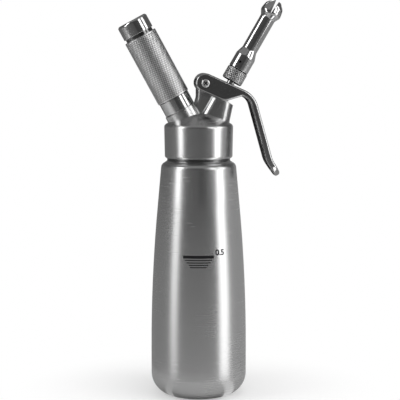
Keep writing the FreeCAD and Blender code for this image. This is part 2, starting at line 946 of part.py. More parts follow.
def web_slot(x):
    """The long hole in the web that the stem passes through."""
    half = slot_length / 2 - slot_half
    low, high = 0.0, 2 * web_offset
    slot = Part.makeBox(2 * half, 2 * slot_half, high - low, Vector(x - half, -slot_half, low))
    for end in (-half, half):
        slot = slot.fuse(Part.makeCylinder(slot_half, high - low, Vector(x + end, 0, low)))
    return slot


def nozzle_adapter():
    """The knurled nut with a spigot for the nozzle."""
    top = adapter_foot + adapter_length
    thread = stem_radius + running_fit
    seal_top = stem_top + adapter_seal_thickness + running_fit
    body = turned([
        (thread, adapter_foot, edge_break),
        (adapter_radius - adapter_chamfer, adapter_foot, 0),
        (adapter_radius, adapter_foot + adapter_cone, 0),
        (adapter_radius, top - adapter_cone, 0),
        (adapter_radius - adapter_chamfer, top, 0),
        (spigot_radius, top, 0),
        (spigot_radius, top + spigot_length, spigot_round),
        (spigot_radius - spigot_wall, top + spigot_length, edge_break),
        (stem_bore + edge_break, top + funnel_start, 0),
        (stem_bore + edge_break, seal_top, 0),
        (thread, seal_top, 0),
    ])
    return placed(body, valve_frame)


def adapter_seal():
    high = stem_top + adapter_seal_thickness
    return placed(ring(stem_bore, stem_radius, stem_top, high, seal_round), valve_frame)


def crown_side(depth):
    """The crown's profile, or the one `depth` inside it: a bulb drawn in at its tips."""
    return [
        (nozzle_tube_radius - depth, crown_start, crown_start_round),
        (crown_radius - depth, crown_swell, crown_swell_round),
        (crown_turn_radius - depth, crown_turn, crown_turn_round),
        (crown_tip_radius - depth, crown_tip, 0),
    ]


def tulip_nozzle():
    """A socket, a shoulder, a tube and a crown of petals that lean together."""
    wall = nozzle_wall
    socket = spigot_radius + nozzle_clearance
    body = turned([
        (0, nozzle_foot, 0),
        (nozzle_foot_radius, nozzle_foot, spigot_round),
        (nozzle_foot_radius, nozzle_shoulder, nozzle_shoulder_round),
        (nozzle_tube_radius, nozzle_tube_foot, nozzle_shoulder_round),
        *crown_side(0),
        (0, crown_tip, 0),
    ])
    bore = turned([
        (0, nozzle_foot - wall, 0),
        (socket, nozzle_foot - wall, 0),
        (socket, nozzle_foot + spigot_length + wall / 2, seal_round),
        (nozzle_tube_radius - wall, nozzle_tube_foot - wall / 2, nozzle_bore_round),
        *crown_side(wall),
        (crown_tip_radius - wall, crown_tip + wall, 0),
        (0, crown_tip + wall, 0),
    ])
    hole_way = Rotation(Vector(0, 0, 1), cross_hole_turn).multVec(Vector(0, -1, 0))
    cross_hole = Part.makeCylinder(
        cross_hole_radius, 2 * nozzle_foot_radius, Vector(0, 0, nozzle_foot + cross_hole_rise), hole_way)
    cuts = [bore, cross_hole]
    for i in range(crown_petals):
        notch = petal_notch()
        notch.rotate(Vector(0, 0, 0), Vector(0, 0, 1), 360.0 / crown_petals * i + crown_phase)
        cuts.append(notch)
    return placed(body.cut(cuts), valve_frame)


def petal_notch():
    """The gap between two petals, wide at their tips, with a round foot."""
    half = petal_gap / 2
    tip_half = crown_tip_radius * math.sin(math.pi / crown_petals) - petal_tip_width / 2
    above = crown_tip + half
    wall = plate([
        (-half, petal_gap_foot, 0), (half, petal_gap_foot, 0), (tip_half, above, 0), (-tip_half, above, 0),
    ], 0, 2 * crown_radius)
    return wall.fuse(cross_rod(half, 0, 2 * crown_radius, 0, petal_gap_foot))


def report_numbers():
    """Sizes worked out from the model, for the record."""
    room = bottle_inside().common(rod(bottle_radius, 0, fill_mark_height))
    print("room below the fill mark", round(room.Volume / 1000.0, 1), "ml")
    travel = valve_travel()
    print("lever swing", lever_swing, "deg, stem travel", round(travel, 4), "mm, ratio",
          round(travel / 1000.0 / math.radians(lever_swing), 6), "m per rad")
    stem_way = valve_frame.Rotation.multVec(Vector(0, 0, -1))
    holder_way = holder_frame.Rotation.multVec(Vector(0, 0, 1))
    print("stem goes in along", [round(v, 6) for v in stem_way])
    print("holder comes off along", [round(v, 6) for v in holder_way])
    print("holder axis foot", holder_frame.Base.z, "valve axis foot", valve_frame.Base.z)
    print("pivot", pivot_x, round(pivot_height, 3), "rim", round(rim_height, 3), "cap top", cap_top)


os.makedirs("parts", exist_ok=True)
for make in (
    bottle, head_gasket, head_body, pin_carrier, piercing_pin, pin_seal, non_return_valve, gas_charger,
    charger_cushion, charger_holder, knurled_grip, holder_end_cap, valve_guide_bush, valve_stem,
    valve_gasket, stem_o_ring, valve_spring, thrust_collar, pivot_barrel, pivot_screw, pivot_washers,
    lever, nozzle_adapter, adapter_seal, tulip_nozzle,
):
    save(make(), make.__name__)
report_numbers()
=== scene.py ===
import bpy
import math
import numpy as np
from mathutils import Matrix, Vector


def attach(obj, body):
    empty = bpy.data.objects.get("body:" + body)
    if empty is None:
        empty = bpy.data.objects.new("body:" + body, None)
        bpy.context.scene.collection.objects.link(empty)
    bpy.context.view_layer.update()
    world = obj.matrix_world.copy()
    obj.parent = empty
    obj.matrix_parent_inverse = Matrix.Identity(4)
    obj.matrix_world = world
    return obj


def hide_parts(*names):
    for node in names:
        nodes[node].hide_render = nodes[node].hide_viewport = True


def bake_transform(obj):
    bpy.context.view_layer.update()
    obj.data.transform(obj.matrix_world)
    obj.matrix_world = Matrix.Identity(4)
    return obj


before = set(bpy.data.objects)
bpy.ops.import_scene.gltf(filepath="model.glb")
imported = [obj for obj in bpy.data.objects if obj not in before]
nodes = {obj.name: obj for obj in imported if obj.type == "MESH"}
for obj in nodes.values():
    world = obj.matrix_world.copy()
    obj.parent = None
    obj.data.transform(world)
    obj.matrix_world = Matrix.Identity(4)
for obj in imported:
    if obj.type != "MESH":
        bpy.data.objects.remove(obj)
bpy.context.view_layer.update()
mm = 0.001
toMm = (1 / mm, 1 / mm, 1 / mm)
holderPlace = {"tilt": -28.6, "foot": 205.65}      # the charger holder's own axis, degrees and mm
valvePlace = {"tilt": 30.0, "foot": 209.85}        # the valve stem's own axis
uprightPlace = {"tilt": 0.0, "foot": 0.0}
print("frame loaded,", len(nodes), "nodes")


class Signal:
    # a socket that can stand in an expression; each operator adds one Math node
    def __init__(self, sheet, socket):
        self.sheet, self.socket = sheet, socket

    def mathOf(self, operation, *values):
        return self.sheet.add("ShaderNodeMath", {"operation": operation}, dict(enumerate(values)))

    def math(self, operation, other):
        return self.mathOf(operation, self, other)

    def __add__(self, other): return self.math("ADD", other)
    def __radd__(self, other): return self.math("ADD", other)
    def __mul__(self, other): return self.math("MULTIPLY", other)
    def __rmul__(self, other): return self.math("MULTIPLY", other)
    def __sub__(self, other): return self.math("SUBTRACT", other)
    def __rsub__(self, other): return self.mathOf("SUBTRACT", other, self)
    def __truediv__(self, other): return self.math("DIVIDE", other)
    def __rtruediv__(self, other): return self.mathOf("DIVIDE", other, self)
    def between(self, low, high): return self.sheet.ramp(self, low, high)


noiseKinds = {                                     # detail and roughness
    "soft": (2.0, 0.5), "broad": (3.0, 0.5), "plain": (3.0, 0.6), "rich": (4.0, 0.6),
}


class Sheet:
    # one material's or the world's nodes
    def __init__(self, owner):
        owner.use_nodes = True
        self.owner, self.tree = owner, owner.node_tree
        self.tree.nodes.clear()

    def add(self, kind, settings=None, values=None, out=0):
        # settings first, then a value or a link for each named or numbered socket
        node = self.tree.nodes.new(kind)
        for key, value in (settings or {}).items():
            setattr(node, key, value)
        for key, value in (values or {}).items():
            socket = node.inputs[key]
            if isinstance(value, Signal):
                self.tree.links.new(value.socket, socket)
            else:
                socket.default_value = value
        return Signal(self, node.outputs[out]) if len(node.outputs) else node

    def ramp(self, value, low, high):
        # 0 below low, 1 above high, smooth between
        return self.add("ShaderNodeMapRange", {"interpolation_type": "SMOOTHSTEP"},
                        {"Value": value, "From Min": low, "From Max": high})

    def blend(self, factor, first, second):
        # a colour that goes from first to second
        return self.add("ShaderNodeMix", {"data_type": "RGBA"},
                        {"Factor": factor, 6: first, 7: second}, out=2)

    def place(self, tilt=0.0, foot=0.0, stretch=(1.0, 1.0, 1.0)):
        # Object coordinates, turned so that Z runs along a part's own axis, then stretched
        here = self.add("ShaderNodeTexCoord", out=3)
        angle = -math.radians(tilt)
        here = self.vector("SUBTRACT", here, (0, 0, foot * mm))
        here = self.add("ShaderNodeMapping", {}, {"Vector": here, "Rotation": (0, angle, 0)})
        return self.vector("MULTIPLY", here, stretch)

    def vector(self, operation, first, second):
        return self.add("ShaderNodeVectorMath", {"operation": operation}, {0: first, 1: second})

    def length(self, where):
        return self.add("ShaderNodeVectorMath", {"operation": "LENGTH"}, {0: where}, out=1)

    def noise(self, where, scale, kind):
        detail, rough = noiseKinds[kind]
        return self.add("ShaderNodeTexNoise", {},
                        {"Vector": where, "Scale": scale, "Detail": detail, "Roughness": rough})

    def axis(self, where, letter):
        return self.add("ShaderNodeSeparateXYZ", {}, {0: where}, out="XYZ".index(letter))

    def bump(self, height, strength, distance, before=None):
        values = {"Height": height, "Strength": strength, "Distance": distance}
        if before is not None:
            values["Normal"] = before
        return self.add("ShaderNodeBump", {}, values)

    def paintedShade(self, colour, place, look):
        # painted shade: a darker colour in the corner or groove between two heights on a part's own axis,
        # where shade falls
        if "groove" not in look:
            return colour
        height = self.axis(self.place(**place, stretch=toMm), "Z")
        start, startFull, endFull, end = look["groove"]
        inside = height.between(start, startFull) * (1.0 - height.between(endFull, end))
        return self.blend(inside, colour, grey(look["colour"] * look["paintedShade"]))

    def finish(self, values):
        shader = self.add("ShaderNodeBsdfPrincipled", {}, values)
        self.add("ShaderNodeOutputMaterial", {}, {"Surface": shader})
        return self.owner


def grey(level, warmth=0.0):
    return (level * (1 + warmth), level, level * (1 - warmth), 1.0)


def newSheet(name):
    return Sheet(bpy.data.materials.new(name))


brushing = {"scratches": (28.0, 28.0, 3100.0), "scratchRange": (0.66, 0.78), "scratchRough": 0.02,
            "blotches": (1.0, 1.0, 0.55), "blotchRough": 0.06, "contrast": 2.5, "dark": 0.8, "pale": 1.2,
            "lineDepth": 0.00012, "waveDepth": 0.0009}


def brushedSteel(name, place, look):
    # steel with fine lines round its own axis, soft blotches and a few longer scratches
    sheet, b = newSheet(name), brushing
    across, along = look["lines"]
    lines = sheet.noise(sheet.place(**place, stretch=(across, across, along)), 1.0, "rich")
    scratches = sheet.noise(sheet.place(**place, stretch=b["scratches"]), 1.0, "soft")
    scratches = scratches.between(*b["scratchRange"])
    blotches = sheet.noise(sheet.place(**place, stretch=b["blotches"]), look["blotchScale"], "broad")
    shade = blotches * look["cloud"] + lines * look["grain"] + scratches * look["scratch"]
    middle = (look["cloud"] + look["grain"]) / 2
    colour = sheet.blend((shade - middle) * b["contrast"] + 0.5,
                         grey(look["colour"] * b["dark"]), grey(look["colour"] * b["pale"]))
    level = look["rough"] - look["roughLines"] / 2 - b["blotchRough"] / 2
    rough = lines * look["roughLines"] + blotches * b["blotchRough"] + level
    fine = sheet.bump(lines, look["bump"], b["lineDepth"])
    return sheet.finish({
        # the base colour carries the look's painted shade where the look gives a groove
        "Base Color": sheet.paintedShade(colour, place, look), "Metallic": 1.0,
        "Roughness": rough + scratches * b["scratchRough"], "Anisotropic": look["anisotropy"],
        "Normal": sheet.bump(blotches, look["waves"], b["waveDepth"], fine),
    })


knurlShadeAndGrain = {"grain": 700.0, "blur": 0.2, "grainRough": 0.12, "crestRough": 0.10, "duller": 0.04,
           "bump": 0.05, "depth": 0.0001}


def knurledSteel(name, place, look):
    # steel whose grooves, nearer the axis, take painted shade, a darker colour, and are duller than its
    # crests
    sheet, r = newSheet(name), knurlShadeAndGrain
    flat = sheet.place(**place, stretch=(1 / mm, 1 / mm, 0.0))
    crest = sheet.length(flat).between(*look["groove"])
    grain = sheet.noise(sheet.place(), r["grain"], "plain")
    # painted shade: the grooves take a darker copy of the colour, the crests the full colour
    colour = sheet.blend(crest + grain * r["blur"] - r["blur"] / 2,
                         grey(look["colour"] * look["shadow"]), grey(look["colour"]))
    return sheet.finish({
        "Base Color": colour, "Metallic": 1.0,
        "Roughness": grain * r["grainRough"] - crest * r["crestRough"] + (look["rough"] + r["duller"]),
        "Normal": sheet.bump(grain, r["bump"], r["depth"]),
    })


polishing = {"turning": (30.0, 30.0, 2600.0), "hairs": (900.0, 900.0, 60.0), "hairRange": (0.62, 0.8),
             "cloud": 42.0, "cloudRange": (0.3, 0.7), "dark": 0.94, "pale": 1.04, "cloudRough": 0.06,
             "turningRough": 0.04, "hairRough": 0.04, "cloudBump": 0.4, "depth": 0.00006}


def polishedSteel(name, place, look):
    # bright steel with faint turning marks, fine hairlines and a trace of handling
    sheet, p = newSheet(name), polishing
    turning = sheet.noise(sheet.place(**place, stretch=p["turning"]), 1.0, "soft")
    hairs = sheet.noise(sheet.place(stretch=p["hairs"]), 1.0, "soft").between(*p["hairRange"])
    cloud = sheet.noise(sheet.place(), p["cloud"], "rich")
    warmth = look.get("warmth", 0.0)
    dark, pale = [grey(look["colour"] * p[end], warmth) for end in ("dark", "pale")]
    colour = sheet.blend(cloud.between(*p["cloudRange"]), dark, pale)
    level = look["rough"] - (p["cloudRough"] + p["turningRough"]) / 2
    rough = cloud * p["cloudRough"] + turning * p["turningRough"] + hairs * p["hairRough"] + level
    return sheet.finish({
        # the base colour carries the look's painted shade where the look gives a groove
        "Base Color": sheet.paintedShade(colour, place, look), "Metallic": 1.0, "Roughness": rough,
        "Normal": sheet.bump(turning + cloud * p["cloudBump"], look["bump"], p["depth"]),
    })


recessing = {"cloud": 400.0, "dark": 0.9, "pale": 1.1, "shadow": 0.06, "cloudRough": 0.06,
             "recessRough": 0.3, "bump": 0.04, "depth": 0.00006}


def recessedSteel(name, look):
    # bright steel with painted shade, a much darker colour, in its recess: below a level and within a
    # radius of the screw's own axis
    sheet, c = newSheet(name), recessing
    here, (x, z) = sheet.place(stretch=toMm), look["axis"]
    aside = sheet.vector("MULTIPLY", sheet.vector("SUBTRACT", here, (x, 0, z)), (1, 0, 1))
    away = sheet.length(aside)
    recess = sheet.axis(here, "Y").between(*look["depth"]) * (1.0 - away.between(*look["reach"]))
    cloud = sheet.noise(sheet.place(), c["cloud"], "plain")
    bright = sheet.blend(cloud, grey(look["colour"] * c["dark"]), grey(look["colour"] * c["pale"]))
    level = look["rough"] - c["cloudRough"] / 2
    return sheet.finish({
        # the recess's painted shade: a much darker colour there
        "Base Color": sheet.blend(recess, bright, grey(look["colour"] * c["shadow"])), "Metallic": 1.0,
        "Roughness": cloud * c["cloudRough"] + recess * c["recessRough"] + level,
        "Normal": sheet.bump(cloud, c["bump"], c["depth"]),
    })


matting = {"grain": 2600.0, "worn": 160.0, "wornRange": (0.45, 0.75), "dark": 0.92, "pale": 1.25,
           "wornRough": 0.1, "bump": 0.25, "depth": 0.00008}


def rubber(name, colour, rough, shine=0.5):
    # matt rubber with a fine grain and slightly paler worn patches
    sheet, m = newSheet(name), matting
    grain = sheet.noise(sheet.place(), m["grain"], "plain")
    worn = sheet.noise(sheet.place(), m["worn"], "rich").between(*m["wornRange"])
    dark, pale = [(*[c * share for c in colour], 1.0) for share in (m["dark"], m["pale"])]
    return sheet.finish({
        "Base Color": sheet.blend(worn, dark, pale), "Roughness": worn * m["wornRough"] + rough,
        "Specular IOR Level": shine, "Normal": sheet.bump(grain, m["bump"], m["depth"]),
    })


steelLooks = {
    # bottle: painted shade, a darker band between the groove heights, on the neck just under the collar's
    # foot
    "bottle": {"colour": 0.60, "rough": 0.26, "roughLines": 0.07, "bump": 0.016, "waves": 0.05,
               "anisotropy": 0.5, "lines": (40.0, 2000.0), "blotchScale": 24.0, "cloud": 0.12,
               "grain": 0.07, "scratch": -0.02, "groove": (192.0, 192.3, 194.4, 194.6), "paintedShade": 0.25},
    "head": {"colour": 0.62, "rough": 0.25, "roughLines": 0.05, "bump": 0.02, "waves": 0.02,
             "anisotropy": 0.3, "lines": (30.0, 4200.0), "blotchScale": 40.0, "cloud": 0.06,
             "grain": 0.05, "scratch": -0.01},
    "stem": {"colour": 0.58, "rough": 0.22, "roughLines": 0.10, "bump": 0.10, "waves": 0.0,
             "anisotropy": 0.0, "lines": (90.0, 3000.0), "blotchScale": 90.0, "cloud": 0.10,
             "grain": 0.12, "scratch": -0.05},
    "hard": {"colour": 0.50, "rough": 0.33, "roughLines": 0.12, "bump": 0.10, "waves": 0.0,
             "anisotropy": 0.0, "lines": (90.0, 2600.0), "blotchScale": 90.0, "cloud": 0.10,
             "grain": 0.12, "scratch": -0.05},
    "charger": {"colour": 0.46, "rough": 0.40, "roughLines": 0.10, "bump": 0.06, "waves": 0.05,
                "anisotropy": 0.0, "lines": (200.0, 900.0), "blotchScale": 60.0, "cloud": 0.10,
                "grain": 0.12, "scratch": -0.05},
}
knurlLooks = {
    # shadow: the grooves' painted shade, as a share of the colour
    "grip": {"colour": 0.84, "shadow": 0.10, "rough": 0.38, "groove": (13.42, 13.53)},
    "nut": {"colour": 0.72, "shadow": 0.04, "rough": 0.46, "groove": (8.52, 8.585)},
}
polishLooks = {
    # ring: painted shade, a darker band between the groove heights, in the neck between the grip and the
    # end cap
    "ring": {"colour": 0.60, "rough": 0.13, "bump": 0.015, "groove": (98.4, 98.6, 100.5, 100.7),
             "paintedShade": 0.3},
    "nozzle": {"colour": 0.62, "rough": 0.13, "bump": 0.012},
    "lever": {"colour": 0.54, "rough": 0.16, "bump": 0.03},
    "screw": {"colour": 0.86, "rough": 0.32, "axis": (4.6, 254.65), "depth": (-12.85, -12.6),
              "reach": (1.9, 2.2)},
    "brass": {"colour": 0.58, "rough": 0.22, "bump": 0.08, "warmth": 0.32},
}
finishes = {
    "bottleSteel": brushedSteel("bottleSteel", uprightPlace, steelLooks["bottle"]),
    "headSteel": brushedSteel("headSteel", uprightPlace, steelLooks["head"]),
    "knurledSteel": knurledSteel("knurledSteel", holderPlace, knurlLooks["grip"]),
    "stemSteel": brushedSteel("stemSteel", valvePlace, steelLooks["stem"]),
    "hardSteel": brushedSteel("hardSteel", valvePlace, steelLooks["hard"]),
    "chargerSteel": brushedSteel("chargerSteel", holderPlace, steelLooks["charger"]),
    "ringSteel": polishedSteel("ringSteel", holderPlace, polishLooks["ring"]),
    "nozzleSteel": polishedSteel("nozzleSteel", valvePlace, polishLooks["nozzle"]),
    "adapterSteel": knurledSteel("adapterSteel", valvePlace, knurlLooks["nut"]),
    "leverSteel": polishedSteel("leverSteel", uprightPlace, polishLooks["lever"]),
    "screwSteel": recessedSteel("screwSteel", polishLooks["screw"]),
    "turnedBrass": polishedSteel("turnedBrass", holderPlace, polishLooks["brass"]),
    "redSilicone": rubber("redSilicone", (0.42, 0.05, 0.035), 0.5),
    "blackRubber": rubber("blackRubber", (0.025, 0.025, 0.027), 0.55),
    "guidePlastic": rubber("guidePlastic", (0.72, 0.72, 0.69), 0.42),
    "markInk": rubber("markInk", (0.008, 0.008, 0.009), 0.6, shine=0.1),
}
nodeFinish = {
    "bottle": "bottleSteel", "head_gasket": "redSilicone", "head_body": "headSteel",
    "pin_carrier": "turnedBrass", "piercing_pin": "hardSteel", "pin_seal": "blackRubber",
    "non_return_valve": "blackRubber", "gas_charger": "chargerSteel", "charger_cushion": "blackRubber",
    "charger_holder": "ringSteel", "knurled_grip": "knurledSteel", "holder_end_cap": "ringSteel",
    "valve_guide_bush": "guidePlastic", "valve_stem": "stemSteel", "valve_gasket": "blackRubber",
    "stem_o_ring": "blackRubber", "valve_spring": "hardSteel", "thrust_collar": "stemSteel",
    "pivot_barrel": "hardSteel", "pivot_screw": "screwSteel", "pivot_washers": "hardSteel",
    "lever": "leverSteel", "nozzle_adapter": "adapterSteel", "adapter_seal": "blackRubber",
    "tulip_nozzle": "nozzleSteel",
}
for name, finish in nodeFinish.items():
    slots = nodes[name].data.materials
    for i in range(len(slots)):
        slots[i] = finishes[finish]
print("finishes set on", len(nodeFinish), "nodes")


def placed(name, data):
    # a new object in the scene, at the origin
    piece = bpy.data.objects.new(name, data)
    bpy.context.scene.collection.objects.link(piece)
    return piece


def toWorld(points, place):
    # turns points in mm about a part's own axis into metres in the object's frame
    angle = math.radians(place["tilt"])
    x, y, z = np.moveaxis(points, -1, 0)
    return np.stack([
        x * math.cos(angle) + z * math.sin(angle), y,
        -x * math.sin(angle) + z * math.cos(angle) + place["foot"],
    ], -1) * mm


def skin(name, rings, finish, closed=False, sharpAngle=35.0):
    # rings[i, j] is point j of ring i; each ring is a closed loop, and the row of rings is closed
    # into a ring of its own or capped at both ends
    count, around = rings.shape[:2]
    i, j = np.meshgrid(np.arange(count if closed else count - 1), np.arange(around), indexing="ij")
    nextRing, nextPoint = (i + 1) % count, (j + 1) % around
    quads = np.stack([i * around + j, i * around + nextPoint,
                      nextRing * around + nextPoint, nextRing * around + j], -1)
    faces = quads.reshape(-1, 4).tolist()
    if not closed:
        faces += [list(range(around))[::-1], list(range((count - 1) * around, count * around))]
    mesh = bpy.data.meshes.new(name)
    mesh.from_pydata(rings.reshape(-1, 3), [], faces)
    if signedVolume(mesh) < 0:
        mesh.flip_normals()
    mesh.shade_smooth()
    mesh.set_sharp_from_angle(angle=math.radians(sharpAngle))
    mesh.materials.append(finishes[finish])
    return placed(name, mesh)


def signedVolume(mesh):
    # a sixth of the sum of each triangle's triple product; negative where faces point inwards
    mesh.calc_loop_triangles()
    corners = np.zeros(len(mesh.loop_triangles) * 3, np.int32)
    mesh.loop_triangles.foreach_get("vertices", corners)
    spots = np.zeros(len(mesh.vertices) * 3)
    mesh.vertices.foreach_get("co", spots)
    a, b, c = np.moveaxis(spots.reshape(-1, 3)[corners.reshape(-1, 3)], 1, 0)
    return float(np.einsum("ij,ij->i", a, np.cross(b, c)).sum()) / 6


def knurledTurning(name, knurl, place, finish):
    # a closed profile turned about its own axis; between two heights its outside is cut by two
    # crossing sets of helical grooves: cut = the higher of two saw waves, one of turn * teeth +
    # height / pitch and one of turn * teeth - height / pitch, and where it passes flat the
    # radius loses (cut - flat) * depth, fading out towards both ends
    low, high, radius = knurl["low"], knurl["high"], knurl["radius"]
    perTooth = knurl["samples"]
    rows = int(round((high - low) / knurl["pitch"] * perTooth))
    outer = np.stack([np.full(rows + 1, radius), np.linspace(low, high, rows + 1)], -1)
    profile = np.concatenate([outer, np.array(knurl["corners"], float)])
    turn = np.arange(knurl["teeth"] * perTooth) / (knurl["teeth"] * perTooth)
    r = np.broadcast_to(profile[:, 0], (len(turn), len(profile))).copy()
    z = np.broadcast_to(profile[:, 1], r.shape)
    saw = lambda value: np.abs(2 * (value % 1.0) - 1)
    along = (z - low) / knurl["pitch"]
    around = turn[:, None] * knurl["teeth"]
    cut = np.maximum(saw(around + along), saw(around - along))
    fade = np.clip(np.minimum(z - low, high - z) / knurl["fade"], 0, 1)
    groove = np.maximum(cut - knurl["flat"], 0) * knurl["depth"] * fade
    r[:, :rows + 1] -= groove[:, :rows + 1]
    angle = 2 * math.pi * turn[:, None]
    points = np.stack([r * np.cos(angle), r * np.sin(angle), z], -1)
    return skin(name, toWorld(points, place), finish, closed=True, sharpAngle=28.0)


gripKnurl = {                                      # corners: the section's other points, radius and height
    "low": 43.25, "high": 97.8, "radius": 13.55, "teeth": 42, "pitch": 2.02, "samples": 8,
    "depth": 0.55, "flat": 0.66, "fade": 0.9,
    "corners": [(13.4, 98.23), (13.0, 98.35), (11.65, 98.35),
                (11.65, 42.7), (13.0, 42.7), (13.4, 42.82)],
}
grip = knurledTurning("gripSleeve", gripKnurl, holderPlace, "knurledSteel")
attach(grip, "holder")
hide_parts("knurled_grip")

nutKnurl = {
    "low": 53.9, "high": 63.3, "radius": 8.6, "teeth": 24, "pitch": 2.25, "samples": 12,
    "depth": 0.6, "flat": 0.7, "fade": 0.5,
    "corners": [(7.6, 64.1), (6.5, 64.1), (6.5, 72.6), (6.0, 73.1), (5.4, 73.1), (5.1, 72.8),
                (2.3, 66.6), (2.3, 62.25), (3.25, 62.25), (3.25, 53.4), (3.55, 53.1), (7.6, 53.1)],
}
nut = knurledTurning("nozzleNut", nutKnurl, valvePlace, "adapterSteel")
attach(nut, "adapter")
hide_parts("nozzle_adapter")

ridgeSection = {"across": (-0.5, -0.32, -0.14, 0.14, 0.32, 0.5),
                "lift": (0.0, 0.72, 1.0, 1.0, 0.72, 0.0),
                "sunk": 0.12, "endsPerTurn": 5, "endWidth": 0.4}
threads = {
    "neckThread": ({"radius": 25.5, "height": 0.27, "width": 1.9, "pitch": 3.0, "turns": 4.0,
                    "low": 194.9, "perTurn": 96}, uprightPlace, "bottleSteel", "bottle"),
    "nippleThread": ({"radius": 11.3, "height": 0.26, "width": 0.95, "pitch": 1.5, "turns": 6.0,
                      "low": 32.6, "perTurn": 72}, holderPlace, "headSteel", "head"),
    "spigotThread": ({"radius": 6.5, "height": 0.21, "width": 0.7, "pitch": 1.0, "turns": 6.5,
                      "low": 65.2, "perTurn": 56}, valvePlace, "adapterSteel", "adapter"),
}


def threadRidge(name, thread, place, finish):
    # a low rounded ridge carried along a helix: centre = (R cos t, R sin t, rise with t); it
    # starts and ends by sinking into its cylinder
    steps = int(thread["turns"] * thread["perTurn"])
    t = np.linspace(0, 1, steps + 1)[:, None]
    angle = 2 * math.pi * thread["turns"] * t
    rise = thread["low"] + thread["pitch"] * thread["turns"] * t
    across, lift = (np.array(ridgeSection[side])[None, :] for side in ("across", "lift"))
    nearEnd = np.minimum(t, 1 - t) * thread["turns"] * ridgeSection["endsPerTurn"]
    ends = np.clip(nearEnd, 0, 1) ** 0.5
    r = thread["radius"] + (thread["height"] * lift * ends - ridgeSection["sunk"])
    narrowest = ridgeSection["endWidth"]
    z = rise + across * thread["width"] * (narrowest + (1 - narrowest) * ends)
    points = np.stack([r * np.cos(angle), r * np.sin(angle), z], -1)
    return skin(name, toWorld(points, place), finish)


for name, (thread, place, finish, body) in threads.items():
    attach(threadRidge(name, thread, place, finish), body)


def springWire(name, coil, place, finish):
    # a round wire along a helix: centre = (R cos t, R sin t, rise), its section turned to the
    # helix's own slope
    t = np.linspace(0, 2 * math.pi * coil["turns"], coil["turns"] * coil["perTurn"] + 1)[:, None]
    turn = np.linspace(0, 2 * math.pi, coil["around"], endpoint=False)[None, :]
    rise = (coil["high"] - coil["low"]) / (2 * math.pi * coil["turns"])
    slope = math.atan2(rise, coil["radius"])
    outward, upward = coil["wire"] * np.cos(turn), coil["wire"] * np.sin(turn)
    r, back = coil["radius"] + outward, -upward * math.sin(slope)
    points = np.stack([
        r * np.cos(t) - back * np.sin(t), r * np.sin(t) + back * np.cos(t),
        coil["low"] + rise * t + upward * math.cos(slope),
    ], -1)
    return skin(name, toWorld(points, place), finish, sharpAngle=60.0)


springCoil = {"radius": 5.2, "wire": 0.55, "turns": 6, "low": 33.97, "high": 46.58,
              "perTurn": 40, "around": 12}
spring = springWire("valveSpringWire", springCoil, valvePlace, "hardSteel")
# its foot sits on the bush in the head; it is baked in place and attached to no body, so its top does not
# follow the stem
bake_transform(spring)
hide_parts("valve_spring")
print("knurls, threads and spring made")


sideBend = {"widest": 38.8, "start": 38.94, "radius": 1235.7}      # the bottle's long arc, mm
fillMark = {                                     # lines: half width, low and high edge, mm
    "turn": math.radians(-5.1), "lines": [
        (12.45, 117.0, 119.3), (11.05, 115.2, 115.95), (9.55, 113.2, 113.95), (7.75, 111.3, 112.05),
        (6.7, 109.5, 110.25),
    ],
    "middle": 115.0, "steps": 41, "inside": -0.04, "edge": 0.035, "crown": 0.05,
    "numberTurn": 23.0, "numberLow": 119.4, "numberHeight": 4.6,
}
figures = {"sizePerHeight": 1.38, "wall": 0.04, "bolder": 0.2, "smooth": 6}


def bottleRadius(height):
    # the outside at a height on the long arc: widest less the arc's fall = R - sqrt(R^2 - rise^2)
    rise = height - sideBend["start"]
    return sideBend["widest"] - sideBend["radius"] + np.sqrt(sideBend["radius"] ** 2 - rise ** 2)


def markBand(name, middle, halfWidth, low, high):
    # a thin closed strip that follows the bottle round, its faces just inside and outside the steel:
    # x, y = radius at that height * (sine, minus cosine) of the turn
    steps, inside, edge = fillMark["steps"], fillMark["inside"], fillMark["edge"]
    turn = np.linspace(-halfWidth, halfWidth, steps) / bottleRadius(fillMark["middle"]) + middle
    section = np.array([
        (inside, low), (edge, low), (fillMark["crown"], (low + high) / 2),
        (edge, high), (inside, high),
    ])
    r = (bottleRadius(section[:, 1]) + section[:, 0])[None, :]
    height = np.broadcast_to(section[:, 1], (steps, len(section)))
    points = np.stack([r * np.sin(turn)[:, None], -r * np.cos(turn)[:, None], height], -1)
    return skin(name, points * mm, "markInk", sharpAngle=60.0)


for i, (halfWidth, low, high) in enumerate(fillMark["lines"]):
    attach(markBand("fillLine%d" % i, fillMark["turn"], halfWidth, low, high), "bottle")


def wrappedNumber(name, text, turn, low, height):
    # flat figures made a mesh with a wall, then bent round the bottle: x becomes the turn and y
    # the height
    curve = bpy.data.curves.new(name + "Flat", "FONT")
    curve.body, curve.size, curve.align_x = text, height * figures["sizePerHeight"], "CENTER"
    curve.extrude, curve.offset = figures["wall"], figures["bolder"]
    curve.resolution_u = figures["smooth"]
    flat = placed(name + "Flat", curve)
    bpy.context.view_layer.update()
    mesh = bpy.data.meshes.new_from_object(flat.evaluated_get(bpy.context.evaluated_depsgraph_get()))
    bpy.data.objects.remove(flat)
    spots = np.zeros(len(mesh.vertices) * 3)
    mesh.vertices.foreach_get("co", spots)
    x, y, depth = spots.reshape(-1, 3).T
    r = bottleRadius(low + y) + depth
    angle = turn + x / bottleRadius(low)
    bent = np.stack([r * np.sin(angle), -r * np.cos(angle), low + y], -1) * mm
    mesh.vertices.foreach_set("co", bent.ravel())
    mesh.update()
    mesh.materials.clear()
    mesh.materials.append(finishes["markInk"])
    return placed(name, mesh)


number = wrappedNumber("fillNumber", "0.5", math.radians(fillMark["numberTurn"]),
                       fillMark["numberLow"], fillMark["numberHeight"])
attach(number, "bottle")
print("fill mark made")


cameraLook = {"azimuth": -4.91, "distance": 1.1, "height": 0.28025, "pitch": 6.25, "yaw": -0.057,
              "lens": 122.39, "sensor": 36.0, "near": 0.01, "far": 50.0}
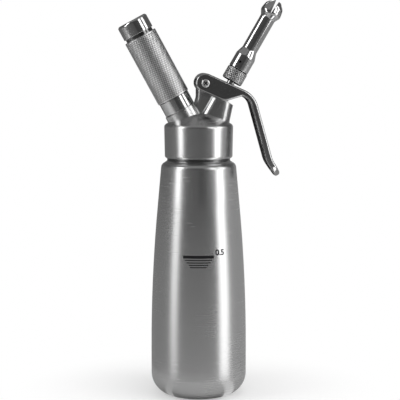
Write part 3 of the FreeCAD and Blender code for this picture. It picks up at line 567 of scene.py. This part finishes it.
# each ring: radius, foot and top in metres, then its cards
# each card: azimuth from and to in degrees, level at foot and top
ringsOfCards = {
    "low": (0.62, 0.0, 0.36, [(46, 180, 0.34, 0.34), (180, 314, 0.20, 0.16)]),
    "high": (0.62, 0.36, 0.95, [(46, 180, 0.14, 0.14), (180, 314, 0.11, 0.11)]),
    "front": (0.61, 0.0, 0.36, [(-48, 48, 0.19, 0.09)]),
    "flag": (0.605, 0.16, 0.36, [(0, 20, 0.065, 0.065)]),
    "above": (0.61, 0.36, 0.66, [(-48, 48, 0.075, 0.085)]),
    "top": (0.61, 0.66, 0.95, [(-48, 48, 0.10, 0.34)]),
    "strip": (0.60, 0.11, 0.28, [(-69, -53, 2.4, 3.0), (55, 76, 3.2, 3.2)]),
    "upperStrip": (0.60, 0.28, 0.62, [(-69, -53, 3.0, 4.0)]),
    "holderStrip": (0.60, 0.28, 0.82, [(39, 55, 2.6, 2.6), (69, 88, 2.6, 2.6)]),
    "nozzleStrip": (0.60, 0.62, 0.82, [(-82, -58, 4.5, 4.5)]),
    "near": (0.12, 0.0, 0.165, [(-180, -61, 0.30, 0.20), (-61, -45, 0.9, 1.9), (-45, 44, 0.33, 0.12),
                                (44, 66, 1.8, 2.4), (66, 180, 0.40, 0.36)]),
}
cardSteps = {"round": 33, "up": 3}
floorCards = {"inner": 0.026, "outer": 0.12, "height": 0.0006, "steps": 9,
              "cards": [(-61, -45, 0.55), (44, 66, 0.85)]}
lidLook = {"radius": 0.62, "height": 0.95, "level": 0.26, "corners": 12}


def emitting(name, foot, top, low=0.0, high=1.0):
    # a card's glow, from one level at its foot to another at its top
    sheet = newSheet(name)
    share = (sheet.axis(sheet.place(), "Z") - low) / (high - low)
    colour = sheet.blend(share, grey(foot), grey(top))
    glow = sheet.add("ShaderNodeEmission", {}, {"Color": colour, "Strength": 1.0})
    sheet.add("ShaderNodeOutputMaterial", {}, {"Surface": glow})
    return sheet.owner


def stagePiece(name, points, faces, material):
    mesh = bpy.data.meshes.new(name)
    mesh.from_pydata(points, [], faces)
    mesh.materials.append(material)
    piece = placed(name, mesh)
    return piece


def onlyReflected(piece):
    piece.visible_camera = piece.visible_diffuse = False
    piece.visible_shadow = piece.visible_transmission = False


def curvedCard(name, start, end, radius, low, high, material):
    # a part of a cylinder round the object: x, y = radius * (sine, minus cosine) of the turn
    wide, tall = cardSteps["round"], cardSteps["up"]
    turn = np.radians(np.linspace(start, end, wide) + cameraLook["azimuth"])[:, None]
    height = np.linspace(low, high, tall)[None, :]
    points = np.stack(np.broadcast_arrays(radius * np.sin(turn), -radius * np.cos(turn), height), -1)
    grid = np.arange(wide * tall).reshape(wide, tall)
    faces = np.stack([grid[:-1, :-1], grid[1:, :-1], grid[1:, 1:], grid[:-1, 1:]], -1).reshape(-1, 4)
    return stagePiece(name, points.reshape(-1, 3), faces.tolist(), material)


for ring, (radius, low, high, cards) in ringsOfCards.items():
    for i, (start, end, footLevel, topLevel) in enumerate(cards):
        name = "%sCard%d" % (ring, i)
        glow = emitting(name, footLevel, topLevel, low, high)
        onlyReflected(curvedCard(name, start, end, radius, low, high, glow))
for i, (start, end, level) in enumerate(floorCards["cards"]):
    name, steps = "floorCard%d" % i, floorCards["steps"]
    turn = np.radians(np.linspace(start, end, steps) + cameraLook["azimuth"])
    arc = np.stack([np.sin(turn), -np.cos(turn), np.zeros(steps)], -1)
    edge = np.concatenate([arc * floorCards["inner"], arc[::-1] * floorCards["outer"]])
    edge = edge + (0, 0, floorCards["height"])
    onlyReflected(stagePiece(name, edge, [list(range(2 * steps))], emitting(name, level, level)))
corners, level = lidLook["corners"], lidLook["level"]
turn = np.radians(np.arange(corners) * (360 / corners))
rim = lidLook["radius"] * np.stack([np.sin(turn), np.cos(turn)], -1)
lid = np.column_stack([rim, np.full(corners, lidLook["height"])])
onlyReflected(stagePiece("lidCard", lid, [list(range(corners))], emitting("lidCard", level, level)))

floorLook = {"reach": 4, "colour": 0.9, "mirrored": 0.5, "leastWhite": 0.4, "whiter": (0.035, 0.16)}
floorSheet = newSheet("paleFloor")
seen = floorSheet.add("ShaderNodeLightPath", out=0)          # whiter to the camera, most so far out
away = floorSheet.length(floorSheet.place()).between(*floorLook["whiter"])
mirrored = floorSheet.add("ShaderNodeLightPath", out=3)      # darker in the steel's reflections
tableColour = floorSheet.blend(mirrored, grey(floorLook["colour"]), grey(floorLook["mirrored"]))
table = floorSheet.add("ShaderNodeBsdfDiffuse", {}, {"Color": tableColour})
white = floorSheet.add("ShaderNodeEmission", {}, {"Color": grey(1.0), "Strength": 1.0})
share = seen * (away * (1 - floorLook["leastWhite"]) + floorLook["leastWhite"])
mixed = floorSheet.add("ShaderNodeMixShader", {}, {0: share, 1: table, 2: white})
floorSheet.add("ShaderNodeOutputMaterial", {}, {"Surface": mixed})
reach = floorLook["reach"]
floorCorners = [(-reach, -reach, 0), (reach, -reach, 0), (reach, reach, 0), (-reach, reach, 0)]
stagePiece("floor", floorCorners, [[0, 1, 2, 3]], floorSheet.owner)

skyLook = {"light": 0.55, "shown": 1.0}
world = bpy.data.worlds.new("studio")
bpy.context.scene.world = world
sky = Sheet(world)
cameraRay = sky.add("ShaderNodeLightPath", out=0)
glossyRay = sky.add("ShaderNodeLightPath", out=3)
throughRay = sky.add("ShaderNodeLightPath", out=6)
shown = (cameraRay + glossyRay + throughRay).math("MINIMUM", 1.0)
skyColour = sky.blend(shown, grey(skyLook["light"]), grey(skyLook["shown"]))
air = sky.add("ShaderNodeBackground", {}, {"Color": skyColour, "Strength": 1.0})
sky.add("ShaderNodeOutputWorld", {}, {"Surface": air})

lamps = {
    "leftBox": {"azimuth": -62, "distance": 0.58, "height": 0.33, "size": (0.24, 0.66), "power": 1.9,
                "aim": 0.20},
    "rightBox": {"azimuth": 62, "distance": 0.58, "height": 0.33, "size": (0.26, 0.66), "power": 2.2,
                 "aim": 0.20},
    "topBox": {"azimuth": 20, "distance": 0.30, "height": 0.90, "size": (0.34, 0.34), "power": 1.4,
               "aim": 0.15},
}


def spotRound(look, azimuth):
    # a place at a distance and height, at an azimuth that counts from the front
    angle = math.radians(azimuth)
    return (look["distance"] * math.sin(angle), -look["distance"] * math.cos(angle), look["height"])


for name, lamp in lamps.items():
    light = bpy.data.lights.new(name, "AREA")
    light.shape, light.size, light.size_y = "RECTANGLE", *lamp["size"]
    light.energy = lamp["power"]
    lampObject = placed(name, light)
    lampObject.location = spotRound(lamp, lamp["azimuth"] + cameraLook["azimuth"])
    aim = Vector((0, 0, lamp["aim"])) - lampObject.location
    lampObject.rotation_euler = aim.to_track_quat("-Z", "Y").to_euler()
    lampObject.visible_camera = lampObject.visible_glossy = False

camera = bpy.data.cameras.new("camera")
camera.lens, camera.sensor_width = cameraLook["lens"], cameraLook["sensor"]
camera.clip_start, camera.clip_end = cameraLook["near"], cameraLook["far"]
cameraObject = placed("camera", camera)
cameraObject.location = spotRound(cameraLook, cameraLook["azimuth"])
facing = math.radians(cameraLook["azimuth"]) + math.radians(cameraLook["yaw"])
cameraObject.rotation_euler = (math.radians(90 - cameraLook["pitch"]), 0.0, facing)
bpy.context.scene.camera = cameraObject
bpy.context.scene.view_settings.view_transform = "Standard"
print("stage, light and camera set")
